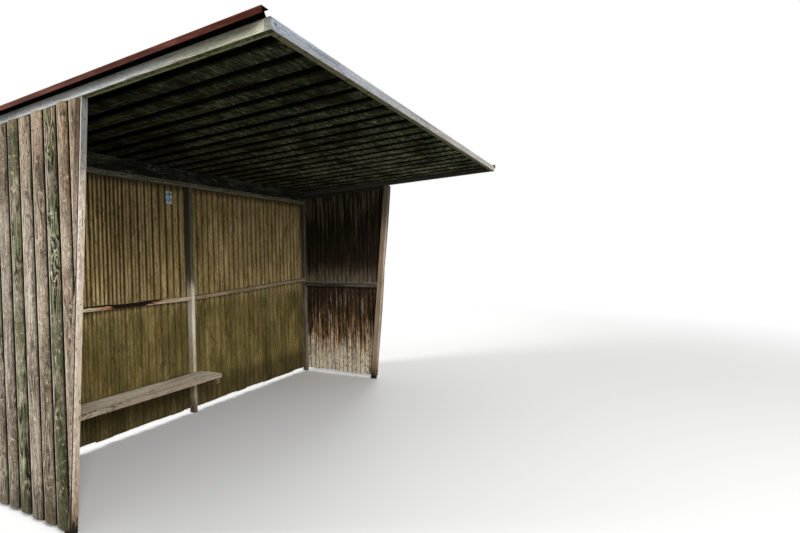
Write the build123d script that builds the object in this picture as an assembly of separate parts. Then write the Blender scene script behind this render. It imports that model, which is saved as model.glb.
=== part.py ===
from build123d import *
from math import atan, ceil, cos, degrees, hypot, radians, sin, tan
import os

# A roadside bus shelter with an open front: a light stud frame on six feet, upright log-lap boarding on
# three sides, a plank bench in the left bay, and a thin steel roof that rises a little towards the front
# and reaches far out over it. The front posts lean forward, so each side wall is a trapezium.
# Millimetres. +X runs along the shelter, the open front faces -Y, the ground is Z = 0, and the origin is
# below the middle of the roof.

# Overall sizes
length = 3660.0             # over the frame, left to right
wall_depth = 1170.0         # front posts' feet to the back of the back posts
front_overhang = 1584.0     # face of the fascia ahead of the front posts' feet
rear_overhang = 86.0        # face of the rear beam behind the back posts
roof_clear = 2488.0         # underside of the roof frame over the front posts' feet
roof_slope = 0.0352         # rise of the roof for each unit towards the front
lean = 0.0955               # forward run of the front posts for each unit of height

# Frame timber
post_width = 38.0
post_depth = 70.0
arris = 3.0                 # rounded corners of every planed stick
middle_post_x = -58.0       # middle of the post between the two bays
beam_width = 38.0           # roof frame
beam_height = 55.0
plate_height = 38.0         # head plate over the middle post
header_width = 38.0         # beam on edge between the head plate and the roof sheets
header_height = 126.0
side_top_rail = 38.0        # height of the rail under each verge beam
side_rail_height = 63.0
side_rail_under = 1192.0
back_rail_height = 38.0
back_rail_drop = 20.0       # back rails lie this far below the side rails
right_rail_lift = 92.0      # the loose right rail has sprung up at its far end

# Rot in the left back rail
rot_start = -905.0
rot_end = -530.0
rot_depth = 9.0             # of the rail's height
rot_line = ((0.19, 0.5), (0.39, 1.0), (0.66, 0.88), (0.87, 0.62))  # shares of its run and depth

# Boarding
board_cover = 135.6
board_crown = 28.0          # thickness at the middle of the rounded face
board_edge = 13.0           # thickness beside the joint
joint_width = 4.0
joint_depth = 4.0
reed_width = 7.0            # shallow groove down the middle of the flat inner face
reed_depth = 2.5
board_lift = 32.0           # boards end above the ground
board_drop = 9.0            # and below the roof frame
back_board_drop = 3.0       # boards of the back wall end below the roof sheets
notch_gap = 2.0             # and are notched round the verge beams

# Roof sheets
rib_pitch = 177.0           # at most; the ribs are spread evenly from edge to edge
rib_height = 18.0
rib_base = 52.0
rib_top = 32.0
sheet_thickness = 0.7
edge_lip = 2.0              # flat edge outside the outermost ribs
ribs_per_sheet = 6          # that a sheet covers, at most
edge_out = 52.0             # sheets reach past the verge beams
sheet_setback = 25.0        # sheets stop behind the face of the fascia
sheet_rear_lap = 20.0       # and run past the rear beam
trim_thickness = 1.0
trim_top = 42.0             # flange that lies on the edge rib
trim_below = 11.0           # the trim hangs this far below the top of the verge beam

# Bench
bench_top = 426.0
bench_thickness = 38.0
bench_depth = 309.0
bench_past_post = 47.0      # end of the plank past the middle post
bearer_width = 38.0
bearer_height = 63.0
bearer_inset = 22.0         # bearers stop behind the front edge of the plank

# What follows from them
half = length / 2
roof_half = (front_overhang + wall_depth + rear_overhang + sheet_rear_lap) / 2
foot_y = front_overhang - roof_half
back_y = foot_y + wall_depth
rail_y = back_y - post_depth
roof_angle = atan(roof_slope)


def roof_under(y):
    """Height of the underside of the roof frame at y."""
    return roof_clear - roof_slope * (y - foot_y)


roof = Location((0, 0, roof_under(0)), (-degrees(roof_angle), 0, 0))
tall = 2 * roof_clear


def bar(x0, x1, y0, y1, z0, z1):
    """A plain block between two corners."""
    return Pos((x0 + x1) / 2, (y0 + y1) / 2, (z0 + z1) / 2) * Box(x1 - x0, y1 - y0, z1 - z0)


def stick_x(x0, x1, y0, y1, z0, z1):
    """A planed stick along X."""
    section = Plane.YZ * RectangleRounded(y1 - y0, z1 - z0, arris)
    return Pos(x0, (y0 + y1) / 2, (z0 + z1) / 2) * extrude(section, x1 - x0)


def stick_y(x0, x1, y0, y1, z0, z1):
    """A planed stick along Y."""
    section = Plane.XZ * RectangleRounded(x1 - x0, z1 - z0, arris)
    return Pos((x0 + x1) / 2, y1, (z0 + z1) / 2) * extrude(section, y1 - y0)


def stick_z(x0, x1, y0, y1, z0, z1):
    """A planed stick upright."""
    return Pos((x0 + x1) / 2, (y0 + y1) / 2, z0) * extrude(RectangleRounded(x1 - x0, y1 - y0, arris), z1 - z0)


def under_roof(drop=0.0):
    """The space below the roof frame's underside, lowered by a drop."""
    return roof * Pos(0, 0, -drop) * bar(-length, length, -length, length, -tall, 0)


def behind_lean(offset=0.0):
    """The space behind the front posts' leaning front faces."""
    y = foot_y + offset
    far = back_y + length
    outline = Polyline((y, 0), (far, 0), (far, tall), (y - lean * tall, tall), close=True)
    face = make_face(Plane.YZ * outline)
    return Pos(-length, 0, 0) * extrude(face, 2 * length, dir=(1, 0, 0))


# Posts
def front_post(x0):
    foot = Pos(x0 + post_width / 2, foot_y + post_depth / 2, 0) * RectangleRounded(post_width, post_depth, arris)
    return extrude(foot, tall, dir=(0, -lean, 1)) & under_roof()


nodes = {}
nodes["front_post_left"] = front_post(-half)
nodes["front_post_right"] = front_post(half - post_width)
for name, x0 in (("left", -half), ("right", half - post_width)):
    nodes["back_post_" + name] = stick_z(x0, x0 + post_width, rail_y, back_y, 0, tall) & under_roof()
mid_left = middle_post_x - post_width / 2
mid_right = middle_post_x + post_width / 2
plate_top = roof_under(rail_y) + beam_height - header_height
plate_under = plate_top - plate_height
nodes["back_post_middle"] = stick_z(mid_left, mid_right, rail_y, back_y, 0, plate_under)

# Back wall rails: a head plate on the middle post, and a header on it up to the roof sheets
inner = half - post_width
nodes["head_plate"] = stick_x(-inner, inner, rail_y, back_y, plate_under, plate_top)
header = bar(-inner, inner, rail_y, rail_y + header_width, plate_top, tall)
nodes["header_beam"] = header & under_roof(-beam_height)

back_rail_under = side_rail_under - back_rail_drop
rail_top = back_rail_under + back_rail_height
left_rail = stick_x(-inner, mid_left, rail_y, back_y, back_rail_under, rail_top)
scoop_run = rot_end - rot_start
scoop_rim = rail_top + rot_depth / 8
scoop_top = Polyline((rot_end, scoop_rim), (rot_start, scoop_rim))
scoop_low = Spline(
    (rot_start, scoop_rim),
    *[(rot_start + along * scoop_run, rail_top - deep * rot_depth) for along, deep in rot_line],
    (rot_end, scoop_rim),
)
scoop = make_face(Plane.XZ * (scoop_top + scoop_low))
nodes["back_rail_left"] = left_rail - Pos(0, back_y + post_depth, 0) * extrude(scoop, 3 * post_depth, dir=(0, -1, 0))

right_run = inner - mid_right
right_end = Pos(mid_right, (rail_y + back_y) / 2, back_rail_under + back_rail_height / 2)
right_end *= Plane.YZ * RectangleRounded(post_depth, back_rail_height, arris)
nodes["back_rail_right"] = extrude(right_end, hypot(right_run, right_rail_lift), dir=(right_run, 0, right_rail_lift))

# Side rails: one under each verge beam and one at mid height
for name, x0 in (("left", -half), ("right", half - post_width)):
    x1 = x0 + post_width
    bay = behind_lean(post_depth) & bar(-length, length, -length, rail_y, 0, tall)
    top_rail = roof * stick_y(x0, x1, -roof_half, roof_half, -side_top_rail, 0)
    nodes["side_top_rail_" + name] = top_rail & bay
    side_rail = stick_y(x0, x1, -roof_half, roof_half, side_rail_under, side_rail_under + side_rail_height)
    nodes["side_rail_" + name] = side_rail & bay

# Roof frame: fascia and rear beam across the full length, verge beams between them
frame_back = roof_half - sheet_rear_lap
fascia_in = beam_width - roof_half
rear_in = frame_back - beam_width
nodes["front_fascia"] = roof * stick_x(-half, half, -roof_half, fascia_in, 0, beam_height)
nodes["rear_beam"] = roof * stick_x(-half, half, rear_in, frame_back, 0, beam_height)
nodes["verge_beam_left"] = roof * stick_y(-half, beam_width - half, fascia_in, rear_in, 0, beam_height)
nodes["verge_beam_right"] = roof * stick_y(half - beam_width, half, fascia_in, rear_in, 0, beam_height)


# Boarding: one board's outline in plan, rounded outside, jointed and reeded inside
def boarding(count):
    """Boards side by side along X from 0, flat face on Y = 0, rounded face towards +Y."""
    edges = []
    for k in range(count):
        x0 = k * board_cover
        xm = x0 + board_cover / 2
        x1 = x0 + board_cover
        edges.append(ThreePointArc(
            (x0 + joint_width / 2, board_edge), (xm, board_crown), (x1 - joint_width / 2, board_edge)))
        if k < count - 1:
            edges.append(Polyline(
                (x1 - joint_width / 2, board_edge), (x1, board_edge - joint_depth), (x1 + joint_width / 2, board_edge)))
    end = count * board_cover
    inside = [(end - joint_width / 2, board_edge), (end, board_edge), (end, 0)]
    for k in reversed(range(count)):
        x0 = k * board_cover
        xm = x0 + board_cover / 2
        inside += [(xm + reed_width / 2, 0), (xm, reed_depth), (xm - reed_width / 2, 0)]
        if k:
            inside += [(x0 + joint_width / 2, 0), (x0, joint_depth), (x0 - joint_width / 2, 0)]
    inside += [(0, 0), (0, board_edge), (joint_width / 2, board_edge)]
    edges.append(Polyline(*inside))
    return make_face(Wire([e for curve in edges for e in curve.edges()]))


wall_height = tall - board_lift
side_count = ceil((wall_depth + board_crown + lean * roof_clear) / board_cover)
side_face = extrude(boarding(side_count), wall_height, dir=(0, 0, 1))
side_shape = under_roof(board_drop) & behind_lean()
left_boards = Pos(-half, back_y + board_crown, board_lift) * Rot(0, 0, -90) * mirror(side_face, Plane.XZ)
nodes["boards_left"] = left_boards & side_shape
nodes["boards_right"] = mirror(nodes["boards_left"], Plane.YZ)

back_count = ceil(length / board_cover)
back_face = Pos(-half, back_y, board_lift) * extrude(boarding(back_count), wall_height, dir=(0, 0, 1))
back_face = back_face & under_roof(back_board_drop - beam_height)
for x0 in (-half, inner):
    back_face -= roof * bar(x0 - notch_gap, x0 + post_width + notch_gap, -roof_half, roof_half, -notch_gap, tall)
back_wall_y = (back_y, back_y + board_crown)
nodes["boards_back_left"] = back_face & bar(-half, middle_post_x, *back_wall_y, 0, tall)
nodes["boards_back_right"] = back_face & bar(middle_post_x, half, *back_wall_y, 0, tall)


# Roof sheets: a folded profile of even thickness, each sheet lapped over the last rib of the one before
def thicken(points, t):
    """Points moved up by t square to the line, mitred at the folds."""
    out = []
    for i, (x, z) in enumerate(points):
        normals = []
        for a, b in ((i - 1, i), (i, i + 1)):
            if a >= 0 and b < len(points):
                dx, dz = points[b][0] - points[a][0], points[b][1] - points[a][1]
                run = hypot(dx, dz)
                normals.append((-dz / run, dx / run))
        nx = sum(n[0] for n in normals)
        nz = sum(n[1] for n in normals)
        size = hypot(nx, nz)
        nx, nz = nx / size, nz / size
        grow = t / (nx * normals[0][0] + nz * normals[0][1])
        out.append((x + nx * grow, z + nz * grow))
    return out


def rib(k):
    """The four folds of rib k, counted from the left edge."""
    x = k * pitch - edge_rib
    return [(x - rib_base / 2, 0), (x - rib_top / 2, rib_height), (x + rib_top / 2, rib_height), (x + rib_base / 2, 0)]


sheet_back = roof_half - (beam_height + rib_height + sheet_thickness) * tan(roof_angle)


def sheet(points):
    """A sheet from its underside's folds, front to back of the roof."""
    outline = Polyline(*points, *reversed(thicken(points, sheet_thickness)), close=True)
    flat = extrude(make_face(Plane.XZ * outline), sheet_back + roof_half - sheet_setback, dir=(0, -1, 0))
    return roof * Pos(0, sheet_back, beam_height) * flat


roof_edge = half + edge_out
edge_rib = roof_edge - edge_lip - rib_base / 2
pitch_count = ceil(2 * edge_rib / rib_pitch)
pitch = 2 * edge_rib / pitch_count
sheet_count = ceil(pitch_count / ribs_per_sheet)
laps = [round(k * pitch_count / sheet_count) for k in range(sheet_count + 1)]  # ribs where the sheets start and end
for k in range(sheet_count):
    first, last = laps[k], laps[k + 1]
    if k == 0:
        points = [(-roof_edge, 0)] + rib(first)
    else:
        start = rib(first)
        lap = thicken([(start[0][0] - rib_base, 0)] + start, sheet_thickness)
        points = lap[1:4] + start[3:]
    for i in range(first + 1, last):
        points += rib(i)
    if k < sheet_count - 1:
        points += rib(last)[:3]
    else:
        points += rib(last) + [(roof_edge, 0)]
    nodes["roof_sheet_" + str(k + 1)] = sheet(points)

# Verge trims: folded angles over the sheets' outer edges
trim_z = beam_height + rib_height + sheet_thickness
trim_profile = Polyline(
    (-roof_edge, beam_height - trim_below),
    (-roof_edge - trim_thickness, beam_height - trim_below),
    (-roof_edge - trim_thickness, trim_z + trim_thickness),
    (-roof_edge + trim_top, trim_z + trim_thickness),
    (-roof_edge + trim_top, trim_z),
    (-roof_edge, trim_z),
    close=True,
)
trim = extrude(make_face(Plane.XZ * trim_profile), sheet_back + roof_half, dir=(0, -1, 0))
nodes["verge_trim_left"] = roof * Pos(0, sheet_back, 0) * trim
nodes["verge_trim_right"] = mirror(nodes["verge_trim_left"], Plane.YZ)

# Bench: a plank from the left wall to just past the middle post, on a cleat and a bearer
bench_under = bench_top - bench_thickness
bench_front = rail_y - bench_depth
bearer_front = bench_front + bearer_inset
bearer_under = bench_under - bearer_height
bench_end = mid_right + bench_past_post
nodes["bench_seat"] = stick_x(-half, bench_end, bench_front, rail_y, bench_under, bench_top)
nodes["bench_cleat"] = stick_y(-half, bearer_width - half, bearer_front, rail_y, bearer_under, bench_under)
nodes["bench_bearer"] = stick_y(mid_right, mid_right + bearer_width, bearer_front, back_y, bearer_under, bench_under)

os.makedirs("parts", exist_ok=True)
for name, shape in nodes.items():
    solids = shape.solids()
    export_step(solids[0] if len(solids) == 1 else Compound(solids), os.path.join("parts", name + ".step"))
    print(name, len(solids), round(sum(s.volume for s in solids) / 1e6, 2), "litres")
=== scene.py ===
import math
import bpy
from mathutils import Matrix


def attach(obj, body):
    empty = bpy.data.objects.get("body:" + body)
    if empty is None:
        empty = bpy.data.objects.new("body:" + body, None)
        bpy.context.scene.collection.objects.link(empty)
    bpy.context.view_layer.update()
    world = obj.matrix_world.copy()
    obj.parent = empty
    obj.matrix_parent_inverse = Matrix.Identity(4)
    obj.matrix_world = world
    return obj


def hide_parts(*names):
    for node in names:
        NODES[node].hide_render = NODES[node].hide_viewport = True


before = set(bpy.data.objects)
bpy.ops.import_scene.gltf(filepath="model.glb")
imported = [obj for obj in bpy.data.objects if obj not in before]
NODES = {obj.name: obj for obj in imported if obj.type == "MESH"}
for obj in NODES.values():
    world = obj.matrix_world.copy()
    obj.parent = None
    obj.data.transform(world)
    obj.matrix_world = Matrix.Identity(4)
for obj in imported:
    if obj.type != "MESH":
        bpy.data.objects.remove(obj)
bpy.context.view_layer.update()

from types import SimpleNamespace

import bmesh
import bpy
import numpy as np
from mathutils import Matrix, Vector

# Bus shelter: materials for the frame timber, detailed weathered boards, roof dirt and fixings.
# Metres, in the frame's own axes: +X along the shelter, the open front faces -Y, ground at Z = 0.
# Materials have places in metres too. Their other numbers are tones and shares, matched to the photo.

# Sizes of the solids, as the materials, boards and fixings need them
HALF = 1.830  # half the length of the frame
INNER = HALF - 0.038  # inner faces of the posts and verge beams
FOOT_Y = 0.154  # front posts' feet
BACK_Y = 1.324  # inner face of the back boards
POST_Y = BACK_Y - 0.070  # front faces of the back posts and rails
BENCH_FRONT = 0.945
LEAN = 0.0955  # forward run of the front posts for each metre of height
SLOPE = 0.0352  # rise of the roof for each metre towards the front
ROOF_CLEAR = 2.488  # underside of the roof frame over the front posts' feet
BEAM_H = 0.055
PANS = 21  # of the roof sheets, between the ribs
EDGE_RIB = 1.854
RIB_PITCH = 2 * EDGE_RIB / PANS
RIB_SIDE = (0.0275, 0.0250)  # just outside and inside a rib's foot, from its middle
RAIL_MIDDLE = 1.191  # height of the back rails
SIDE_RAIL_TOP = 1.255
PLATE_UNDER = 2.340
ROT = (-0.905, -0.530)  # ends of the rot in the left back rail
NAIL_HOLE = (1.802, 2.576)  # across and up, at both ends of the fascia

# Boards: tongue and groove at the laps, rounded outside, beaded inside
COVER = 0.1356
CROWN, EDGE, ROUNDING = 0.028, 0.013, 2.1
SIDE_START = BACK_Y + CROWN
LAP_HIGH, LAP_LOW, LAP_REACH, LAP_INSET = 0.0074, 0.0046, 0.0055, 0.0008
BEAD_DEPTH = 0.0032
GAPS = (0.0042, 0.0068)
FOOT_LIFT = 0.033
OUTER_POINTS, INNER_POINTS = 21, 45
BOARD_DATA = {"grain": 3, "mood": 3, "inner": 1, "dirt_and_shade": 1, "worn_and_highlight": 1}
OUTER_WOOD = ((58, 47, 37), (138, 126, 110), (208, 196, 180))

# Unevenness along a board: spacing of the bends and their size
CROWN_BENDS = (0.35, 0.0009)
EDGE_BENDS = (0.16, 0.0005)
DENTS = (0.06, 0.00045)
FACE_BENDS = (0.16, 0.0004)
CROWN_LOSS = 0.0014  # at most, all along a board
FLUTE, FLUTES = 0.0011, 55
FLAT_UP_TO = 0.008  # depth below which the outside doesn't wander
FOOT_FRAY = 0.002

# Rows of boards
BACK_COVER, BACK_FIRST = 0.1438, 0.0969
LEFT_BAY_BOARDS = 13
BACK_DROP = 0.004  # the back wall's boards end below the sheets
NOTCH, NOTCH_GAP = 0.0395, 0.002
BACK_FOOT, SIDE_FOOT = 0.012, 0.014
FIRST_RAKED = 8  # boards from here on meet the leaning cut
LAST_JOINT = 0.018  # the last joint stands this much further back than an even spacing would put it
WEDGE_TIP = 0.0018
# how far each board stops below the roof beams, and tone, green and warmth of those that stand out
CUTS_LEFT = (0.010, 0.014, 0.012, 0.009, 0.016, 0.010, 0.020, 0.010, 0.017, 0.009, 0.015)
CUTS_RIGHT = (0.009, 0.013, 0.010, 0.016, 0.011, 0.012, 0.009, 0.018, 0.012, 0.009, 0.014)
MOODS_LEFT = {
    10: (0.85, 0.1, 0.68), 9: (0.78, 0.3, 0.72), 8: (0.34, 0.98, 0.1), 7: (0.72, 0.2, 0.66),
    6: (0.84, 0.2, 0.5), 5: (0.44, 0.86, 0.5), 4: (0.55, 0.5, 0.2),
}

# Fixings
HEAD_SIDES = 10
NAIL_ROWS_SIDE, NAIL_ROWS_BACK = (1.224, 2.365), (RAIL_MIDDLE, 2.359)
NAIL_OFFSETS = (-0.030, 0.030)
NAIL_DEPTH, NAIL_FROM_CUT = 0.0236, 0.012
NAIL_HEAD = (0.0034, 0.0030)
VERGE_HEAD = (0.0040, 0.0016)
SCREW_HEAD = (0.0042, 0.0062, 0.0085)
SCREW_LINES = (-1.3957, 1.2730, 1.3910)
SCREW_LIFT = 0.0005
VERGE_NAILS = (0.176, 0.320, 0.696)
VERGE_NAIL_UP = 0.030
LABEL_X, LABEL_Z = (-0.287, -0.224), (2.150, 2.277)
LABEL_ACROSS, LABEL_UP = 9, 15
LABEL_OFF, LABEL_THICK = 0.0009, 0.0004

# Camera, where the photo was taken
PHOTO_WIDTH, FOCAL_PX, SENSOR = 800, 450.889, 36.0
YAW, PITCH, ROLL = 1.114952, -0.024425, -0.016150
EYE = (-3.2961, -2.7222, 1.6)

# Stage
FLOOR_SIZE = 60.0
FADE = (3.6, 11.0)  # the floor turns white between these distances
SKY_LIGHT = 0.52


def roof_under(y):
    return ROOF_CLEAR - SLOPE * (y - FOOT_Y)


def over_roof_line(n, y, z):
    """Height above the sloping underside of the roof frame, in a material."""
    return n.add(n.add(z, n.mul(y, SLOPE)), -roof_under(0))


def rake(z):
    """Where the leaning front cut meets the row of boards at height z."""
    return SIDE_START - FOOT_Y + LEAN * z


def add_object(name, data):
    obj = bpy.data.objects.new(name, data)
    bpy.context.scene.collection.objects.link(obj)
    return obj


def finish(obj, material, slot, *nodes):
    """Material and body of a piece, and the solids that it stands for. The slot is not used."""
    obj.data.materials.append(material)
    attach(obj, "root")
    if nodes:
        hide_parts(*nodes)


def smooth(mesh, degrees):
    """Smooth shading, with edges that turn by more left sharp."""
    for poly in mesh.polygons:
        poly.use_smooth = True
    mesh.set_sharp_from_angle(angle=math.radians(degrees))


def make_camera():
    sy, cy, sp, cp = math.sin(YAW), math.cos(YAW), math.sin(PITCH), math.cos(PITCH)
    ahead = np.array([sy * cp, cy * cp, sp])
    side = np.array([cy, -sy, 0.0])
    top = np.cross(side, ahead)
    right = side * math.cos(ROLL) + top * math.sin(ROLL)
    up = top * math.cos(ROLL) - side * math.sin(ROLL)
    data = bpy.data.cameras.new("camera")
    data.sensor_width = SENSOR
    data.lens = FOCAL_PX / PHOTO_WIDTH * SENSOR
    data.clip_start, data.clip_end = 0.05, 500
    cam = add_object("camera", data)
    rows = [[right[i], up[i], -ahead[i], EYE[i]] for i in range(3)] + [[0, 0, 0, 1]]
    cam.matrix_world = Matrix(rows)
    bpy.context.scene.camera = cam


make_camera()


# Small helpers for node materials
def srgb(r, g, b):
    """A colour written as it looks, in 0 to 255."""
    out = []
    for c in (r, g, b):
        c /= 255
        out.append(c / 12.92 if c <= 0.04045 else ((c + 0.055) / 1.055) ** 2.4)
    return (*out, 1.0)


class Net:
    """The nodes of one procedural material, or of the world."""

    def __init__(self, name, owner=None):
        self.owner = owner or bpy.data.materials.new(name)
        self.owner.use_nodes = True
        self.tree = self.owner.node_tree
        self.tree.nodes.clear()

    def feed(self, socket, value):
        if isinstance(value, bpy.types.NodeSocket):
            self.tree.links.new(value, socket)
        else:
            socket.default_value = value

    def node(self, kind, inputs=None, **settings):
        n = self.tree.nodes.new("ShaderNode" + kind)
        for key, value in settings.items():
            setattr(n, key, value)
        for key, value in (inputs or {}).items():
            self.feed(n.inputs[key], value)
        return n

    def math(self, op, a, b=0.0, clamp=False):
        return self.node("Math", {0: a, 1: b}, operation=op, use_clamp=clamp).outputs[0]

    def add(self, a, b):
        return self.math("ADD", a, b)

    def mul(self, a, b):
        return self.math("MULTIPLY", a, b)

    def div(self, a, b):
        return self.math("DIVIDE", a, b)

    def max(self, a, b):
        return self.math("MAXIMUM", a, b)

    def abs(self, a):
        return self.math("ABSOLUTE", a)

    def inv(self, a):
        return self.math("SUBTRACT", 1.0, a, clamp=True)

    def stray(self, v, ragged, size):
        """v moved to and fro by a noise, so that an edge taken from it is ragged."""
        return self.add(v, self.mul(self.add(ragged, -0.5), size))

    def weigh(self, *pairs):
        """Sum of the values, each times its weight."""
        total = None
        for value, weight in pairs:
            part = self.mul(value, weight)
            total = part if total is None else self.add(total, part)
        return total

    def mix(self, fac, a, b, kind="MIX"):
        """Mix of two colours; three numbers stand for a colour in 0 to 255."""
        a, b = (srgb(*c) if isinstance(c, tuple) and len(c) == 3 else c for c in (a, b))
        n = self.node("Mix", {0: fac, 6: a, 7: b}, data_type="RGBA", blend_type=kind)
        return n.outputs[2]

    def lay(self, colour, over, share, strength=None):
        """Another colour laid over the first, as far as share times strength says."""
        return self.mix(share if strength is None else self.mul(share, strength), colour, over)

    def tint(self, colour, by, share, strength=None):
        """The colour multiplied by another, as far as share times strength says."""
        return self.lay(colour, self.mix(1.0, colour, by, "MULTIPLY"), share, strength)

    def gain(self, colour, tone):
        """The colour, lighter or darker by a factor."""
        return self.mix(1.0, colour, self.vec(tone, tone, tone), "MULTIPLY")

    def lerp(self, fac, a, b):
        return self.node("Mix", {0: fac, 2: a, 3: b}, data_type="FLOAT").outputs[0]

    def step(self, v, a, b):
        """0 below a and 1 above b, smooth between; with a above b it falls."""
        if a > b:
            return self.inv(self.step(v, b, a))
        n = self.node("MapRange", {0: v, 1: a, 2: b}, interpolation_type="SMOOTHSTEP")
        return n.outputs[0]

    def vec(self, x, y, z):
        return self.node("CombineXYZ", {0: x, 1: y, 2: z}).outputs[0]

    def split(self, v):
        return self.node("SeparateXYZ", {0: v}).outputs

    def scale(self, v, *by):
        return self.node("VectorMath", {0: v, 1: by}, operation="MULTIPLY").outputs[0]

    def shift(self, v, w):
        return self.node("VectorMath", {0: v, 1: w}, operation="ADD").outputs[0]

    def noise(self, v, scale, detail=2.0, rough=0.55, twist=0.0):
        how = {"Vector": v, "Scale": scale, "Detail": detail, "Roughness": rough, "Distortion": twist}
        return self.node("TexNoise", how).outputs[0]

    def drawn(self, v, along, *how):
        """Noise drawn out along the third coordinate, the more the smaller along is."""
        return self.noise(self.scale(v, 1, 1, along), *how)

    def cells(self, v, scale):
        return self.node("TexVoronoi", {"Vector": v, "Scale": scale, "Randomness": 1.0}).outputs

    def ramp(self, v, *stops):
        n = self.node("ValToRGB", {0: v})
        r = n.color_ramp
        while len(r.elements) < len(stops):
            r.elements.new(0.5)
        for e, (at, colour) in zip(r.elements, stops):
            e.position = at
            e.color = srgb(*colour)
        return n.outputs[0]

    def attr(self, name):
        return self.node("Attribute", attribute_name=name).outputs

    def place(self):
        return self.node("TexCoord").outputs["Object"]

    def normal(self):
        return self.split(self.node("NewGeometry").outputs["Normal"])

    def seen(self):
        """1 for what the camera sees straight or in a reflection, 0 for light that falls on things."""
        ray = self.node("LightPath").outputs
        return self.max(ray["Is Camera Ray"], self.max(ray["Is Glossy Ray"], ray["Is Transmission Ray"]))

    def output(self, shader, kind="Material"):
        self.node("Output" + kind, {0: shader.outputs[0]})
        return self.owner

    def surface(self, colour, rough, relief=None, metal=0.0, spec=0.3):
        """Plain surface; relief is a height, its depth in metres and its strength."""
        how = {"Base Color": colour, "Roughness": rough, "Metallic": metal, "Specular IOR Level": spec}
        if relief:
            height, distance, strength = relief
            bump = {"Height": height, "Distance": distance, "Strength": strength}
            how["Normal"] = self.node("Bump", bump).outputs[0]
        return self.output(self.node("BsdfPrincipled", how))


def weathered(
    n, p, dark, mid, light, rings=0.4, checks=0.8, scuffs=0.35, twist=0.7, bend=None, count=66, speckle=1.0,
    early=0.35,
):
    """Colour and relief of weathered timber, and two noises, from p, with the grain along its third axis.

    rings, checks and scuffs are strengths. count says how close the rings lie, and bend leads them aside.
    """
    broad = n.drawn(p, 0.22, 9, 3)
    mottle = n.drawn(p, 0.36, 105, 4, 0.74, 0.8)
    streak = n.drawn(p, 0.035, 130, 3, 0.6, 0.4)
    fibre = n.drawn(p, 0.02, 620, 2, 0.6)
    tone = n.weigh((broad, 0.3), (n.stray(0.5, mottle, speckle), 0.34), (streak, 0.22), (fibre, 0.14))
    wood = n.ramp(tone, (0.39, dark), (0.5, mid), (0.62, light))
    flow = n.drawn(p, 0.16, 11, 1, 0.45, twist)
    if bend is not None:
        flow = n.add(flow, n.mul(bend, 0.22))
    flow = n.add(flow, n.mul(mottle, 0.012))
    wave = n.math("SINE", n.mul(flow, count))
    where = n.step(n.drawn(p, 0.3, 7, 1), 0.36, 0.6)
    ring = n.mul(n.step(wave, 0.45, 0.98), where)
    wood = n.tint(wood, (88, 70, 52), ring, rings)
    between = n.mul(n.mul(n.step(wave, -0.3, -1.0), where), n.mul(rings, early))
    wood = n.mix(between, wood, light)
    scuff = n.step(n.drawn(p, 0.35, 27, 4, 0.72), 0.57, 0.7)
    wood = n.lay(wood, (206, 200, 186), scuff, scuffs)
    crack = n.step(n.drawn(p, 0.014, 210, 1, 0.4), 0.655, 0.7)
    crack = n.mul(crack, n.step(n.drawn(p, 0.25, 10, 1), 0.44, 0.56))
    split = n.abs(n.add(n.drawn(p, 0.01, 70, 1, 0.4), -0.5))
    split = n.mul(n.step(split, 0.0075, 0.002), n.step(n.drawn(p, 0.12, 14, 1), 0.5, 0.6))
    crack = n.max(crack, split)
    wood = n.lay(wood, (26, 20, 14), crack, checks)
    dots = n.cells(n.scale(p, 1, 1, 0.7), 52)
    dot = n.mul(n.step(dots[0], 0.24, 0.12), n.step(n.split(dots[1])[0], 0.34, 0.24))
    wood = n.lay(wood, (22, 18, 14), dot, 0.75)
    relief = n.weigh((streak, 0.6), (fibre, 0.4), (mottle, 0.5), (ring, -0.3), (crack, -1.2), (dot, -0.7))
    return wood, relief, mottle, streak


ORDER = {"x": (1, 2, 0), "y": (0, 2, 1), "z": (0, 1, 2)}


def timber(name, axis, dark, mid, light, arris_wear_and_highlight, finish, spec=0.12, **how):
    """Planed stick of the frame, grain along an axis, arrises a little paler from wear and a painted
    highlight.

    A finish changes the wood from what it reads at each point: place, normal and two noises.
    """
    n = Net(name)
    xyz = n.split(n.place())
    p = n.vec(*[xyz[i] for i in ORDER[axis]])
    wood, relief, mottle, streak = weathered(n, p, dark, mid, light, **how)
    normal = n.normal()
    top = n.max(n.abs(normal[0]), n.max(n.abs(normal[1]), n.abs(normal[2])))
    # pale arrises: wear, and a painted highlight on the rounded edges
    arris = n.mul(n.step(top, 0.985, 0.9), n.step(mottle, 0.38, 0.5))
    wood = n.lay(wood, light, arris, arris_wear_and_highlight)
    if finish:
        at = SimpleNamespace(**dict(zip("xyz", xyz)), normal=normal, mottle=mottle, streak=streak)
        wood = finish(n, wood, at)
    rough = n.lerp(streak, 0.8, 0.97)
    return n.surface(wood, rough, (relief, 0.0018, 0.9), spec=spec)


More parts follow.
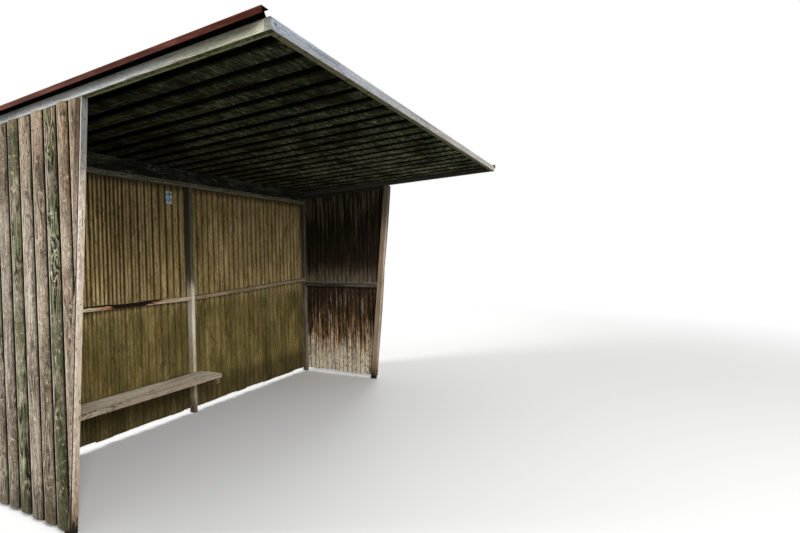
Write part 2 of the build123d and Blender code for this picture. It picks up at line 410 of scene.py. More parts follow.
# Timber of the frame
def front_post_finish(n, wood, at):
    """Grey near the roof, bleached lower down, white along the outer arris from wear and a painted
    highlight, rotten at the foot.
    """
    out = n.abs(at.x)
    wander = n.stray(at.z, at.streak, 0.5)
    wood = n.tint(wood, (156, 168, 182), n.step(wander, 1.84, 2.24))
    inside = n.mul(n.step(at.normal[1], -0.6, -0.3), n.step(out, HALF - 0.02, HALF - 0.03))
    wood = n.lay(wood, n.mix(at.streak, (104, 84, 58), (176, 152, 118)), inside, 0.65)
    # painted highlight with wear: a pale strip and a near white line along the outer arris of the front
    # face
    strip = n.step(n.stray(out, at.streak, 0.016), HALF - 0.015, HALF - 0.0105)
    front = n.step(at.normal[1], -0.4, -0.8)
    strip = n.mul(n.mul(strip, n.step(wander, 2.08, 1.88)), front)
    arris = n.mul(n.step(out, HALF - 0.006, HALF - 0.0035), front)
    wood = n.lay(wood, (206, 206, 202), arris, 0.7)
    worn_and_highlight = n.mix(n.step(at.mottle, 0.36, 0.56), (140, 130, 118), (220, 212, 200))
    wood = n.lay(wood, worn_and_highlight, strip, 0.8)
    low = n.stray(at.z, at.streak, 0.35)
    wood = n.tint(wood, (241, 238, 234), n.step(low, 1.7, 1.2))
    wood = n.lay(wood, (122, 92, 52), n.step(low, 0.34, 0.12), 0.7)
    return n.mix(n.step(low, 0.15, 0.04), wood, (30, 24, 18))


def middle_post_finish(n, wood, at):
    """Dark and damp in the shade of the roof, bleached from the mid rail down."""
    wander = n.stray(at.z, at.streak, 0.45)
    damp = n.step(wander, 1.27, 1.4)
    stain = n.mix(at.mottle, (54, 54, 44), (84, 86, 72))
    stain = n.mix(0.55, n.mix(1.0, wood, (104, 104, 92), "MULTIPLY"), stain)
    wood = n.lay(wood, stain, damp, 0.92)
    wood = n.tint(wood, (226, 214, 198), n.step(at.z, 0.95, 0.55))
    return n.lay(wood, (40, 34, 26), n.step(wander, 0.26, 0.02), 0.8)


def corner_post_finish(n, wood, at):
    """A thin painted highlight on the edge that faces the bays."""
    # painted highlight along the inner edge of the front face
    edge = n.step(n.abs(at.x), INNER + 0.0045, INNER + 0.002)
    edge = n.mul(edge, n.step(at.y, POST_Y + 0.008, POST_Y + 0.003))
    edge = n.mul(edge, n.step(at.streak, 0.34, 0.48))
    wood = n.lay(wood, (138, 146, 150), edge, 0.8)
    damp = n.step(n.stray(at.z, at.streak, 0.5), 1.15, 1.55)
    return n.lay(wood, (46, 40, 30), damp, 0.45)


def plate_finish(n, wood, at):
    """Blotchy grey at the left, dark further right with ragged pale marks and a pale lower edge."""
    place = n.place()
    blot = n.noise(n.scale(place, 0.5, 1, 1), 16, 4, 0.68)
    damp = n.step(n.stray(at.x, blot, 1.6), -1.45, -0.95)
    dark = n.mix(n.step(at.mottle, 0.36, 0.62), (24, 24, 17), (96, 93, 76))
    wood = n.lay(wood, dark, damp, 0.85)
    rags = n.mul(n.step(n.noise(n.scale(place, 0.8, 1, 1), 30, 4, 0.7), 0.6, 0.68), damp)
    wood = n.lay(wood, (150, 148, 132), rags, 0.75)
    lower = n.step(at.z, PLATE_UNDER + 0.0105, PLATE_UNDER + 0.0065)
    return n.lay(wood, (150, 148, 132), n.mul(lower, n.step(at.streak, 0.4, 0.52)), 0.65)


def side_rail_finish(n, wood, at):
    """Dark from damp, with a pale top face and upper edge, painted highlight with bleaching, and near black
    under the roof, painted shade with dirt.
    """
    # painted highlight with bleaching on the top faces and upper edge of the lower rails
    up = n.step(at.normal[2], 0.2, 0.7)
    lower_rail = n.step(at.z, 1.5, 1.4)
    edge = n.mul(n.step(at.z, SIDE_RAIL_TOP - 0.006, SIDE_RAIL_TOP - 0.0025), lower_rail)
    light = n.mul(n.max(n.mul(up, 0.8), edge), n.step(at.streak, 0.36, 0.5))
    wood = n.lay(wood, (152, 146, 132), light, lower_rail)
    # painted shade with dirt: near black on the rails under the roof
    return n.lay(wood, n.mix(at.mottle, (24, 20, 15), (62, 54, 42)), n.step(at.z, 1.9, 2.1), 0.7)


def rail_finish(n, wood, at):
    """Bleached outside the rot, rust orange next to it, black and crumbling in the middle, with painted
    shade underneath.
    """
    place = n.place()
    wander = n.stray(at.x, n.noise(place, 26, 4, 0.68), 0.16)
    beyond = n.add(wander, n.mul(n.add(at.z, -RAIL_MIDDLE), -3.0))
    start, end = ROT
    before = n.step(beyond, end + 0.13, end + 0.03)
    rust = n.mul(n.step(wander, start - 0.155, start - 0.035), before)
    rust = n.mul(rust, n.step(n.noise(n.scale(place, 0.4, 1, 1), 44, 3, 0.6), 0.36, 0.52))
    tint = n.mix(n.step(at.streak, 0.4, 0.6), (96, 50, 30), (176, 104, 62))
    wood = n.lay(wood, tint, rust, 0.85)
    rot = n.mul(n.step(wander, start - 0.01, start + 0.035), n.step(beyond, end + 0.04, end - 0.01))
    crumbs = n.step(n.noise(place, 120, 3, 0.6), 0.6, 0.68)
    wood = n.mix(rot, wood, n.mix(crumbs, (17, 13, 10), (92, 52, 36)))
    top = n.stray(at.z, n.noise(n.scale(place, 0.5, 1, 1), 34, 4, 0.7), 0.03)
    upper = n.mul(n.step(wander, start - 0.395, start - 0.145), before)
    wood = n.lay(wood, (24, 18, 14), n.step(top, RAIL_MIDDLE + 0.006, RAIL_MIDDLE + 0.014), upper)
    # painted shade on the faces that turn down
    return n.lay(wood, (60, 46, 34), n.step(at.normal[2], -0.3, -0.8), 0.6)


def beam_finish(n, wood, at):
    """Painted shade under the sheets' overhang with grime from their drip on the end faces, olive patches
    on the underside, a pale line inside it.
    """
    place = n.place()
    uneven = n.stray(over_roof_line(n, at.y, at.z), n.drawn(place, 0.3, 40, 3, 0.6), 0.012)
    # painted shade under the overhanging sheets, with grime, on the upper band of the end faces
    grime_and_shade = n.mul(n.step(uneven, 0.026, 0.062), n.step(at.normal[0], -0.3, -0.8))
    wood = n.lay(wood, (66, 67, 66), grime_and_shade, 0.62)
    fine = n.noise(place, 260, 3, 0.65)
    wood = n.lay(wood, (84, 86, 88), n.step(fine, 0.56, 0.64), 0.55)
    wood = n.lay(wood, (224, 224, 218), n.step(fine, 0.42, 0.32), 0.35)
    under = n.step(at.normal[2], -0.3, -0.8)
    patch = n.step(n.noise(place, 26, 4, 0.65), 0.36, 0.62)
    wood = n.mix(under, wood, n.mix(patch, (62, 63, 36), (112, 114, 78)))
    line = n.mul(under, n.step(n.noise(n.scale(place, 0.25, 0.25, 1), 60, 3, 0.6), 0.34, 0.46))
    lip = n.mul(line, n.step(n.abs(at.x), INNER + 0.0145, INNER + 0.0115))
    return n.lay(wood, (160, 162, 138), lip, 0.7)


def inner_shade(n, wood, at):
    """Dark on the faces that turn to the bays, and elsewhere as beam_finish says."""
    wood = beam_finish(n, wood, at)
    left = n.mul(n.step(at.x, -1.7, -1.75), n.step(at.normal[0], 0.3, 0.8))
    right = n.mul(n.step(at.x, 1.7, 1.75), n.step(at.normal[0], -0.3, -0.8))
    back = n.mul(n.step(at.y, 1.2, 1.3), n.step(at.normal[1], -0.3, -0.8))
    return n.lay(wood, n.mix(at.mottle, (12, 12, 8), (40, 38, 29)), n.max(n.max(left, right), back), 0.9)


def fascia_tone(n, wood, at):
    """Bluish grey at the left, warmer and paler to the right, with a nail hole at each end and painted
    shade underneath.
    """
    share = n.div(n.add(at.x, HALF), 2 * HALF)
    tint = n.ramp(share, (0.0, (174, 180, 193)), (0.45, (203, 199, 195)), (1.0, (250, 240, 230)))
    ends = n.step(n.abs(at.normal[0]), 0.5, 0.9)
    wood = n.mix(1.0, wood, n.mix(ends, tint, (212, 208, 192)), "MULTIPLY")
    across = n.add(n.abs(at.x), -NAIL_HOLE[0])
    up = n.add(at.z, -NAIL_HOLE[1])
    hole = n.step(n.add(n.mul(across, across), n.mul(up, up)), 0.00005, 0.00002)
    wood = n.lay(wood, (34, 34, 36), hole, n.step(at.y, 0.0, -1.0))
    wood = inner_shade(n, wood, at)
    # painted shade on the faces that turn down
    return n.tint(wood, (170, 154, 130), n.step(at.normal[2], -0.5, -0.9), 0.6)


def verge_tone(n, wood, at):
    """Creamier towards the front corner."""
    wood = n.tint(wood, (238, 230, 206), n.step(at.y, -0.3, -1.2))
    return inner_shade(n, wood, at)


def bench_finish(n, wood, at):
    """Black mould at the left end, a dark line along the wall, dark checks on the face, painted shade on
    the front face.
    """
    place = n.place()
    spots = n.noise(n.scale(place, 0.7, 1, 1), 46, 4, 0.7)
    wood = n.lay(wood, (18, 16, 12), n.step(spots, 0.55, 0.6), n.mul(n.step(at.x, -1.05, -1.55), 0.95))
    wood = n.lay(wood, (70, 60, 48), n.step(spots, 0.6, 0.7), 0.4)
    back = n.step(n.add(at.y, n.mul(at.streak, 0.02)), POST_Y - 0.022, POST_Y)
    wood = n.lay(wood, (40, 33, 24), back, 0.85)
    edge = n.mul(n.step(at.y, BENCH_FRONT + 0.045, BENCH_FRONT + 0.017), n.step(at.x, -0.9, -1.0))
    wood = n.lay(wood, (18, 16, 12), edge, n.step(spots, 0.5, 0.54))
    # painted shade on the front face
    front = n.step(at.normal[1], -0.4, -0.8)
    return n.lay(wood, n.mix(at.streak, (92, 79, 66), (150, 134, 118)), front, 0.7)


def dress(names, material):
    for name in names.split():
        mesh = NODES[name].data
        mesh.materials.clear()
        mesh.materials.append(material)


# material, run of the grain, three tones, share of pale arrises (wear and painted highlight), finish,
# settings, and what it dresses
TIMBERS = (
    ("front_post_wood", "z", (138, 120, 102), (188, 172, 154), (214, 202, 188), 0.45, front_post_finish,
     {"rings": 0.25}, "front_post_left front_post_right"),
    ("back_post_wood", "z", (62, 52, 38), (104, 92, 72), (148, 136, 112), 0.3, corner_post_finish,
     {"rings": 0.3}, "back_post_left back_post_right"),
    ("middle_post_wood", "z", (128, 119, 105), (202, 193, 175), (236, 229, 214), 0.4, middle_post_finish,
     {"rings": 0.2}, "back_post_middle"),
    ("head_plate_wood", "x", (48, 45, 36), (148, 144, 126), (250, 245, 228), 0.3, plate_finish,
     {"rings": 0.5, "scuffs": 0.5}, "head_plate"),
    # header: near black tones, painted shade under the roof
    ("header_wood", "x", (9, 10, 7), (27, 29, 22), (92, 96, 80), 0.2, None,
     {"rings": 0.15, "scuffs": 0.2, "spec": 0.05}, "header_beam"),
    ("back_rail_wood", "x", (118, 94, 70), (198, 176, 148), (240, 226, 202), 0.4, rail_finish,
     {}, "back_rail_left"),
    ("right_rail_wood", "x", (84, 70, 52), (136, 118, 94), (178, 160, 132), 0.3, None,
     {}, "back_rail_right"),
    ("side_rail_wood", "y", (40, 36, 30), (72, 66, 56), (118, 110, 96), 0.2, side_rail_finish,
     {"scuffs": 0.2, "spec": 0.06},
     "side_top_rail_left side_top_rail_right side_rail_left side_rail_right"),
    ("fascia_wood", "x", (124, 126, 125), (172, 174, 175), (215, 217, 218), 0.8, fascia_tone,
     {"rings": 0.1, "scuffs": 0.2}, "front_fascia rear_beam"),
    ("verge_beam_wood", "y", (156, 160, 161), (224, 228, 230), (248, 250, 251), 0.4, verge_tone,
     {"rings": 0.1, "scuffs": 0.2, "spec": 0.05}, "verge_beam_left verge_beam_right"),
    ("bench_wood", "x", (146, 134, 115), (199, 186, 164), (230, 220, 202), 0.5, bench_finish,
     {}, "bench_seat"),
    ("bench_cleat_wood", "y", (56, 46, 34), (92, 80, 60), (132, 118, 94), 0.3, None,
     {}, "bench_cleat bench_bearer"),
)
for *look, how, names in TIMBERS:
    dress(names, timber(*look, **how))


# Roof sheets and trims
def make_sheet_material():
    n = Net("roof_sheet_paint")
    pos = n.place()
    x, y = n.split(pos)[:2]
    # distance from the nearest rib's middle, towards +X
    turn = n.math("FRACT", n.add(n.div(n.add(x, EDGE_RIB), RIB_PITCH), 10.5))
    away = n.mul(n.add(turn, -0.5), RIB_PITCH)
    in_rib = n.step(n.abs(away), *RIB_SIDE)
    # underside: grey green under streaks of dirt across the ribs, paler towards +X, darker towards the
    # back, with painted shade in the ribs, just past them and under the overhang past the verge beams
    slant = n.scale(pos, 0.33, 1, 1)
    dirt_and_shade = n.noise(slant, 27, 5, 0.66, 0.9)
    broad = n.noise(pos, 3.2, 3, 0.6)
    web = n.step(n.noise(slant, 46, 4, 0.66, 0.8), 0.55, 0.63)
    tone = n.weigh((dirt_and_shade, 0.72), (broad, 0.28))
    under = n.ramp(tone, (0.38, (26, 27, 20)), (0.5, (46, 48, 37)), (0.62, (74, 77, 60)))
    under = n.lay(under, (128, 130, 108), web, n.mul(n.step(broad, 0.42, 0.58), 0.6))
    under = n.gain(under, n.lerp(n.step(x, -1.3, 1.5), 1.1, 3.4))
    under = n.lay(under, (40, 32, 25), n.step(broad, 0.46, 0.36), 0.6)
    trail = n.step(n.noise(n.scale(pos, 1, 0.05, 1), 24, 3, 0.6), 0.57, 0.66)
    under = n.lay(under, (98, 98, 66), trail, n.mul(n.step(x, 0.9, -0.9), 0.55))
    # painted shade in the ribs and just past them
    rib_shade = n.mul(n.step(away, -RIB_SIDE[0], -RIB_SIDE[1]), n.step(away, 0.062, 0.018))
    under = n.lay(under, (6, 6, 4), rib_shade, 0.96)
    under = n.lay(under, (12, 12, 8), n.step(y, 0.1, 1.1), 0.5)
    # painted shade under the overhang past the verge beams
    under = n.lay(under, (10, 9, 7), n.step(n.abs(x), HALF - 0.002, HALF + 0.004), 0.9)
    # top: red brown paint, chalked, with moss and leaf dirt in the pans
    chalk = n.noise(n.scale(pos, 1, 0.2, 1), 24, 4, 0.6)
    paint = n.ramp(chalk, (0.3, (86, 52, 42)), (0.5, (112, 72, 60)), (0.72, (138, 98, 84)))
    moss = n.mul(n.step(n.add(n.noise(pos, 7, 5, 0.65), n.mul(in_rib, -0.14)), 0.5, 0.62), 0.85)
    paint = n.mix(moss, paint, n.mix(n.noise(pos, 60, 3, 0.6), (44, 42, 24), (92, 96, 52)))
    leaf = n.cells(n.shift(pos, (0.3, 0.1, 0.0)), 30)
    litter = n.mul(n.step(leaf[0], 0.3, 0.22), n.step(n.split(leaf[1])[0], 0.3, 0.22))
    litter = n.mul(litter, n.step(n.noise(pos, 1.7, 2), 0.48, 0.6))
    paint = n.lay(paint, n.mix(n.split(leaf[1])[1], (96, 66, 30), (150, 118, 52)), litter, 0.8)
    colour = n.mix(n.step(n.normal()[2], -0.02, 0.02), under, paint)
    relief = n.weigh((dirt_and_shade, 0.4), (moss, 0.9))
    return n.surface(colour, n.lerp(dirt_and_shade, 0.7, 0.9), (relief, 0.002, 0.6), spec=0.0)


def make_trim_material():
    n = Net("trim_paint")
    pos = n.place()
    y, z = n.split(pos)[1:]
    fade = n.noise(n.scale(pos, 1, 0.12, 1), 34, 4, 0.65)
    colour = n.ramp(fade, (0.34, (56, 27, 20)), (0.5, (78, 42, 33)), (0.66, (102, 62, 50)))
    # painted shade towards the front end
    colour = n.tint(colour, (206, 162, 150), n.step(y, -1.05, -1.35), 0.55)
    height = over_roof_line(n, y, z)
    # painted highlight on the top edge
    crest_highlight = n.step(height, BEAM_H + 0.015, BEAM_H + 0.0195)
    colour = n.lay(colour, (140, 96, 74), crest_highlight, 0.5)
    # painted shade on the lower part
    low = n.step(height, BEAM_H - 0.005, BEAM_H - 0.0095)
    colour = n.lay(colour, (52, 30, 26), low, 0.4)
    speck = n.noise(n.scale(pos, 1, 0.5, 1), 170, 3, 0.6)
    colour = n.lay(colour, (70, 44, 34), n.step(speck, 0.6, 0.68), 0.5)
    chips = n.step(n.noise(pos, 90, 4, 0.7), 0.66, 0.7)
    colour = n.lay(colour, (64, 44, 34), chips, 0.8)
    # painted shade on the faces that turn down
    colour = n.mix(n.step(n.normal()[2], -0.2, -0.6), colour, (26, 18, 15))
    return n.surface(colour, n.lerp(fade, 0.86, 0.98), (n.add(fade, speck), 0.0008, 0.5), spec=0.03)


dress("roof_sheet_1 roof_sheet_2 roof_sheet_3 roof_sheet_4", make_sheet_material())
dress("verge_trim_left verge_trim_right", make_trim_material())


# Boards
def curve(rng, t, spacing, size):
    """Smooth random values along t."""
    count = max(4, math.ceil((t.max() - t.min()) / spacing) + 3)
    knots = rng.normal(0, 1, count)
    u = (t - t.min()) / spacing
    i = np.clip(u.astype(int), 0, count - 2)
    f = u - i
    f = f * f * (3 - 2 * f)
    return size * (knots[i] * (1 - f) + knots[i + 1] * f)


def crown_depth(k):
    """Depth of the rounded outside, with k 0 in a board's middle and 1 at its edge."""
    return EDGE + (CROWN - EDGE) * (1 - k ** ROUNDING)


def beads(s, cover, quarter):
    """Depth of the hollows in a board's inner face and their dirt with painted shade, with s measured from
    its middle.

    Hollows at the joints and in the middle leave two beads. quarter deepens one more down each bead.
    """
    wave = (1 + np.cos(4 * np.pi * s / cover)) / 2
    fine = quarter * ((1 + np.cos(8 * np.pi * s / cover)) / 2) ** 1.5
    hollow = np.where(wave > 0.5, wave ** 3.5, fine)
    joint = np.abs(s) > cover * 0.375
    return BEAD_DEPTH * hollow, np.where(joint, 1.0, 0.92) * hollow ** 0.8


def profile(width, gap, quarter, cover, tongue, groove):
    """Points round a board's section: across, depth from the inner face, inner, dirt-and-shade and
    wear-and-highlight shares.
    """
    face = width / 2 - gap
    lap = width / 2 - LAP_INSET
    u = np.linspace(-1, 1, OUTER_POINTS)
    points = []
    for k in 0.6 * np.sin(u * np.pi / 2) + 0.4 * u:
        depth = LAP_HIGH + 0.0010 if abs(k) > 0.999 else crown_depth(abs(k))
        # painted shade on the -Y side and a painted highlight near the +Y edge, with dirt in the joints and
        # wear
        dirt_and_shade = abs(k) ** 20 if k < 0 else k ** 6
        worn_and_highlight = math.exp(-(((k + 0.80) / 0.12) ** 2))
        points.append((k * face, depth, 0.0, dirt_and_shade, worn_and_highlight))
    high_side, low_side = [(lap, LAP_HIGH)], [(-lap, LAP_HIGH + 0.0006)]
    if tongue:
        tip = lap + LAP_REACH
        high_side += [(tip, LAP_HIGH - 0.0002), (tip, LAP_LOW + 0.0002), (lap, LAP_LOW)]
    if groove:
        bottom = -lap + LAP_REACH + 0.0005
        low_side[:0] = [(-lap, LAP_LOW - 0.0005), (bottom, LAP_LOW - 0.0003), (bottom, LAP_HIGH + 0.0004)]
    s = np.linspace(width / 2 - 0.0003, 0.0003 - width / 2, INNER_POINTS)
    hollow, dirt_and_shade = beads(s, cover, quarter)
    if width < cover:
        hollow, dirt_and_shade = hollow * (np.abs(s) < width / 2 - 0.004), dirt_and_shade * (np.abs(s) < width / 2 - 0.002)
    points += [(a, d, 0.5, 1.0, 0.0) for a, d in high_side]
    points += [(a, d, 1.0, g, 0.0) for a, d, g in zip(s, hollow, dirt_and_shade)]
    points += [(a, d, 0.5, 1.0, 0.0) for a, d in low_side]
    return np.array(points)


def board_points(board, to_world, rows):
    """Points of one board in rows along it, and the data that its material reads."""
    rng = np.random.default_rng(board["seed"])
    width = board.get("width", COVER)
    gap = rng.uniform(*GAPS)
    quarter, cover = board.get("quarter", 0.25), board.get("cover", COVER)
    section = profile(width, gap, quarter, cover, board.get("tongue", True), board.get("slot", True))
    s0 = section[:, 0]
    mid = board["start"] + width / 2
    # straight sawn top, worn and frayed foot
    high = board["high"](mid + s0) - board["cut"]
    low = board["low"] + board["foot"] * rng.random() + np.abs(rng.normal(0, FOOT_FRAY, len(section)))
    Z = low[None] + np.linspace(0, 1, rows)[:, None] * (high - low)[None]
    along = Z.mean(1)
    S, D, inner, dirt_and_shade, worn_and_highlight = (np.repeat(column[None], rows, 0) for column in section.T)

    def bends(spacing, size):
        return curve(rng, along, spacing, size)[:, None]

    # the crown, the edges and both faces wander a little along the board
    outside = inner < 0.4
    out = np.clip((D - FLAT_UP_TO) / (CROWN - FLAT_UP_TO), 0, 1) * outside
    D += out * (bends(*CROWN_BENDS) - CROWN_LOSS * rng.random())
    S += (np.abs(S) > 0.05) * outside * bends(*EDGE_BENDS)
    D += out * bends(*DENTS)
    D -= out * FLUTE * np.clip(bends(0.22, 1.0) * np.sin(S * FLUTES + rng.random() * 6), -1, 1)
    D += (inner > 0.9) * (np.abs(S) < width / 2 - 0.004) * np.abs(bends(*FACE_BENDS))
    D = np.minimum(D, CROWN)
    if "notch" in board:
        start, end, drop = board["notch"]
        cut = ((mid + s0) > start) & ((mid + s0) < end)
        Z = np.where(cut[None] & (Z > drop), drop, Z)
    across = mid + S
    if "stop" in board:
        # what lies past the leaning cut is drawn back to it, no deeper than the profile there
        limit = board["stop"](Z)
        past = across > limit
        k = np.clip(np.abs(limit - mid) / (width / 2 - gap), 0, 1)
        D = np.where(past, np.minimum(D, crown_depth(k)), D)
        across = np.where(past, limit, across)
        inner = np.where(past, 0.0, inner)
        dirt_and_shade = np.where(past, 0.0, dirt_and_shade)
    grain = np.stack((S + rng.random() * 9, D + board["seed"] * 0.37, Z + rng.random() * 9), -1)
    mood = np.array(board.get("mood", rng.random(3)))
    data = {"grain": grain, "mood": np.repeat(mood[None], D.size, 0), "inner": inner, "dirt_and_shade": dirt_and_shade}
    data["worn_and_highlight"] = worn_and_highlight * (inner < 0.4)
    return np.stack(to_world(across, D, Z), -1), data


def board_mesh(name, boards, to_world, rows):
    """Separate boards in one mesh, each with a start, width and ends, some with a notch or a raked stop."""
    verts, faces = [], []
    info = {key: [] for key in BOARD_DATA}
    base = 0
    for board in boards:
        points, data = board_points(board, to_world, rows)
        verts.append(points.reshape(-1, 3))
        for key, size in BOARD_DATA.items():
            info[key].append(data[key].reshape(-1, size))
        cols = points.shape[1]
        row = np.arange(rows - 1)[:, None] * cols
        col = np.arange(cols)[None]
        after = (col + 1) % cols
        quads = np.stack([row + col, row + after, row + cols + after, row + cols + col], -1)
        faces += (quads.reshape(-1, 4) + base).tolist()
        faces.append([base + i for i in range(cols)][::-1])
        faces.append([base + (rows - 1) * cols + i for i in range(cols)])
        base += rows * cols
    mesh = bpy.data.meshes.new(name)
    mesh.from_pydata(np.concatenate(verts).tolist(), [], faces)
    for key, size in BOARD_DATA.items():
        kind, field = ("FLOAT_VECTOR", "vector") if size == 3 else ("FLOAT", "value")
        layer = mesh.attributes.new(key, kind, "POINT")
        layer.data.foreach_set(field, np.concatenate(info[key]).astype(np.float32).ravel())
    bm = bmesh.new()
    bm.from_mesh(mesh)
    bmesh.ops.dissolve_degenerate(bm, dist=0.0002, edges=bm.edges)
    bmesh.ops.recalc_face_normals(bm, faces=bm.faces)
    bm.to_mesh(mesh)
    bm.free()
    smooth(mesh, 38)
    return add_object(name, mesh)


def board_material(name, outer, inner, inner_finish):
    """One material for both faces of a board, from the board's own coordinates."""
    n = Net(name)
    p = n.attr("grain")["Vector"]
    mood = n.split(n.attr("mood")["Vector"])
    inside = n.attr("inner")["Fac"]
    dirt_and_shade = n.attr("dirt_and_shade")["Fac"]
    xyz = n.split(n.place())
    # knots, more of them on the greener boards; the grain bends round each
    cell = n.cells(n.scale(p, 1, 0, 0.42), 8.5)
    here = n.step(n.add(n.split(cell[1])[0], n.mul(n.lerp(mood[1], 0.22, 0.62), -1)), 0.02, -0.02)
    near = n.mul(n.step(cell[0], 0.42, 0.0), here)
    knot = n.mul(n.step(cell[0], 0.16, 0.07), here)
    how = {"scuffs": 0.36, "twist": 1.2, "bend": near, "count": 50, "speckle": 1.35, "early": 0.8}
    wood, relief, mottle, streak = weathered(n, p, *outer, rings=n.lerp(mood[1], 0.3, 1.3), **how)
    wood = n.gain(wood, n.lerp(mood[0], 0.75, 1.12))
    warm = n.step(mood[2], 0.45, 0.95)
    wood = n.tint(wood, (255, 234, 214), warm, 0.6)
    gold = n.mul(n.step(n.drawn(p, 0.25, 19, 3, 0.6), 0.48, 0.64), warm)
    wood = n.tint(wood, (242, 212, 160), gold, 0.5)
    moss = n.mul(n.step(mood[1], 0.55, 0.9), n.step(n.drawn(p, 0.4, 13, 3, 0.6), 0.3, 0.54))
    wood = n.tint(wood, (160, 182, 138), moss, 0.85)
    blot = n.step(n.drawn(p, 0.6, 21, 4, 0.7), 0.56, 0.66)
    wood = n.tint(wood, (134, 122, 106), blot, 0.4)
    chalk = n.step(n.drawn(p, 0.7, 44, 3, 0.7), 0.6, 0.67)
    wood = n.lay(wood, (226, 214, 190), chalk, 0.55)
    # painted highlight with wear along the +Y edge
    worn_and_highlight = n.mul(n.attr("worn_and_highlight")["Fac"], n.step(mottle, 0.38, 0.5))
    wood = n.lay(wood, (228, 214, 196), worn_and_highlight, 0.9)
    under_roof = over_roof_line(n, *xyz[1:])
    head = n.step(n.stray(under_roof, mottle, 0.08), -0.085, -0.03)
    wood = n.lay(wood, (196, 176, 136), head, 0.15)
    # painted shade under the verge: darker towards the top of the boards
    wood = n.tint(wood, (234, 226, 216), n.step(under_roof, -0.8, -0.15))
    sawn = n.mix(n.step(xyz[2], 2.3, 1.7), (88, 70, 56), (168, 149, 136))
    sawn = n.mix(n.step(mottle, 0.36, 0.54), (54, 42, 34), sawn)
    sawn = n.mix(n.step(n.abs(xyz[0]), HALF + 0.0075, HALF + 0.0035), sawn, (34, 25, 20))
    wood = n.lay(wood, sawn, n.step(n.normal()[1], -0.84, -0.95), 0.85)
    damp = n.step(n.stray(xyz[2], streak, 0.35), 0.3, 0.05)
    wood = n.lay(wood, (52, 48, 32), damp, 0.6)
    # dirt with painted shade: darker in the joints, on the boards' -Y side and in the bead hollows, near
    # black in the gaps
    wood = n.tint(wood, (70, 54, 38), dirt_and_shade, 0.92)
    wood = n.mix(n.step(dirt_and_shade, 0.5, 0.9), wood, (15, 12, 9))
    how = {"rings": 0.3, "checks": 0.6, "scuffs": 0.1}
    face, relief_in, mottle_in, streak_in = weathered(n, n.shift(p, (3.1, 1.7, 5.3)), *inner, **how)
    face = n.gain(face, n.lerp(mood[0], 0.84, 1.12))
    at = SimpleNamespace(**dict(zip("xyz", xyz)), mottle=mottle_in, streak=streak_in, dirt_and_shade=dirt_and_shade)
    face = inner_finish(n, face, at)
    turned = n.step(inside, 0.35, 0.65)
    rim = n.mul(n.step(cell[0], 0.24, 0.12), here)
    wood = n.tint(wood, (150, 124, 96), rim, 0.45)
    wood = n.lay(wood, (44, 33, 22), knot, 0.8)
    wood = n.mix(turned, wood, face)
    relief = n.lerp(turned, n.add(relief, n.mul(knot, -0.4)), relief_in)
    return n.surface(wood, n.lerp(streak, 0.82, 0.98), (relief, 0.0024, 1.0), spec=0.08)


def back_inner(n, wood, at):
    """Olive brown, pinker above the rail, with painted shade between the beads and a painted shadow under
    the plate.
    """
    pos = n.place()
    upper = n.step(n.stray(at.z, at.streak, 0.25), 1.02, 1.3)
    pale = n.step(n.drawn(pos, 0.035, 26, 3, 0.6), 0.5, 0.66)
    bare = n.mix(upper, (164, 152, 108), (178, 160, 126))
    wood = n.lay(wood, bare, pale, n.lerp(upper, 0.4, 0.45))
    green = n.step(n.drawn(pos, 0.3, 5, 3, 0.6), 0.44, 0.62)
    wood = n.lay(wood, (96, 92, 48), green, n.lerp(upper, 0.5, 0.12))
    # painted shade with dirt between the beads, stronger above the rail
    share = n.mul(at.dirt_and_shade, n.mul(n.lerp(upper, 0.46, 1.0), n.lerp(n.step(at.x, 0.2, -0.2), 0.8, 1.0)))
    wood = n.tint(wood, (74, 52, 18), share)
    wood = n.tint(wood, (182, 184, 166), n.inv(upper))
    gain = n.lerp(n.mul(n.step(at.z, 1.45, 2.0), n.step(at.x, -0.6, -1.2)), 0.97, 1.22)
    wood = n.mix(1.0, wood, n.vec(gain, gain, n.mul(gain, 0.92)), "MULTIPLY")
    patch = n.step(n.drawn(pos, 0.5, 4.5, 3, 0.6), 0.48, 0.62)
    grain = n.drawn(pos, 0.25, 75, 4, 0.72)
    mildew = n.step(n.add(grain, n.mul(patch, 0.1)), 0.58, 0.68)
    wood = n.lay(wood, (44, 36, 18), mildew, 0.5)
    brown = n.step(n.drawn(pos, 0.12, 27, 3, 0.65), 0.56, 0.68)
    wood = n.lay(wood, (92, 64, 34), brown, 0.4)
    # painted shadow under the plate
    line = n.step(n.stray(at.z, at.streak, 0.1), PLATE_UNDER - 0.08, PLATE_UNDER - 0.005)
    wood = n.lay(wood, (30, 24, 12), line, 0.75)
    return n.lay(wood, (38, 32, 18), n.step(at.z, 0.4, 0.2), 0.6)


